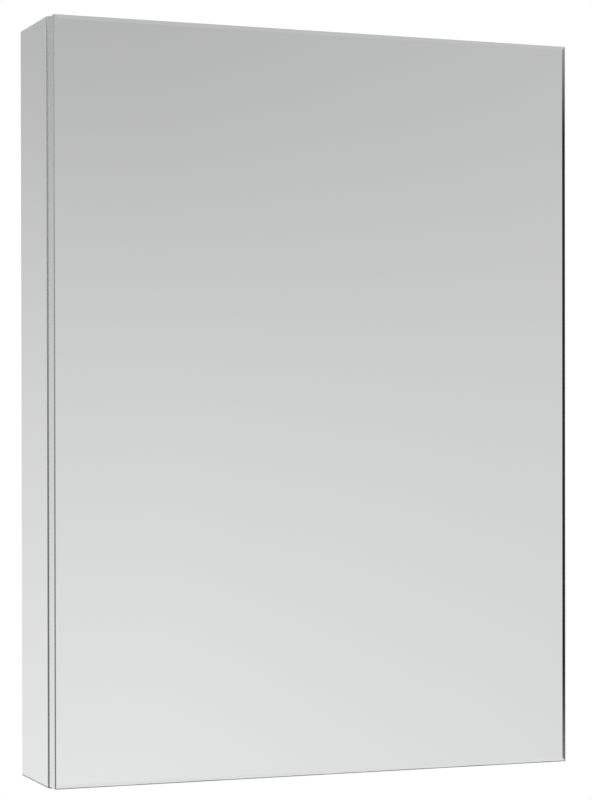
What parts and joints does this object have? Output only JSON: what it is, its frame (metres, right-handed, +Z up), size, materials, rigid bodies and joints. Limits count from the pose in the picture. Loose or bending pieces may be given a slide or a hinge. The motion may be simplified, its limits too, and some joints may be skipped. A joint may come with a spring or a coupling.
{
  "type": "mirror cabinet",
  "caption": "Slim wall-hung mirror cabinet: mirrored door on a continuous hinge, mirrored sides, push latch, glass shelves and adjustable wall hangers.",
  "frame": {"origin": "middle of the four wall-plate screw holes, on the wall plane", "axes": "+Z up, +Y into the wall, the door faces -Y and +X is to the right of someone facing the door"},
  "size_m": [0.5536, 0.125, 0.75],
  "materials": {
    "white_board": "white melamine-faced board",
    "back_board": "white-faced hardboard",
    "mirror_glass": "silvered glass with ground edges",
    "beech": "plain beech",
    "zinc_steel": "zinc-plated steel",
    "white_plastic": "moulded white plastic",
    "grey_plastic": "moulded grey plastic",
    "shelf_glass": "clear float glass with ground edges",
    "hinge_steel": "rolled stainless strip",
    "profile_aluminium": "satin anodised",
    "foam_tape": "closed-cell foam tape",
    "clear_pad": "soft translucent pad",
    "magnet": "sintered magnet",
    "spring_steel": "spring wire"
  },
  "bodies": {
    "case": {"left_side_panel": "white_board", "right_side_panel": "white_board", "top_panel": "white_board", "bottom_panel": "white_board", "back_panel": "back_board", "left_side_mirror": "mirror_glass", "right_side_mirror": "mirror_glass", "corner_dowels": "beech", "cam_bolts": "zinc_steel", "cam_discs": "zinc_steel", "cam_caps": "white_plastic", "upper_shelf": "shelf_glass", "middle_shelf": "shelf_glass", "lower_shelf": "shelf_glass", "shelf_supports": "zinc_steel", "left_hanger_housing": "grey_plastic", "right_hanger_housing": "grey_plastic", "left_hanger_hook": "zinc_steel", "right_hanger_hook": "zinc_steel", "hanger_reach_screws": "zinc_steel", "hanger_height_screws": "zinc_steel", "left_hanger_cover": "white_plastic", "right_hanger_cover": "white_plastic", "left_wall_plate": "zinc_steel", "right_wall_plate": "zinc_steel", "case_hinge_leaf": "hinge_steel", "hinge_pin": "hinge_steel", "case_leaf_screws": "zinc_steel", "bumper_pads": "clear_pad", "latch_housing": "grey_plastic", "latch_spring": "spring_steel", "latch_screws": "zinc_steel"},
    "door": {"door_hinge_leaf": "hinge_steel", "door_leaf_screws": "zinc_steel", "door_board": "white_board", "door_edge_profile": "profile_aluminium", "mirror_tape": "foam_tape", "door_mirror": "mirror_glass", "strike_plate": "zinc_steel"},
    "plunger": {"latch_plunger": "white_plastic", "latch_magnet": "magnet"}
  },
  "joints": [
    {"name": "door_swing", "type": "hinge", "parent": "case", "child": "door", "pos_m": [0.276, -0.0995, -0.313], "axis": [0, 0, 1], "range_deg": [0, 160]},
    {"name": "latch_press", "type": "slide", "parent": "case", "child": "plunger", "axis": [0, 1, 0], "range_m": [0, 0.003], "stiffness_N_per_m": 1200, "springref_m": -0.002, "deforming": ["latch_spring"]}
  ]
}
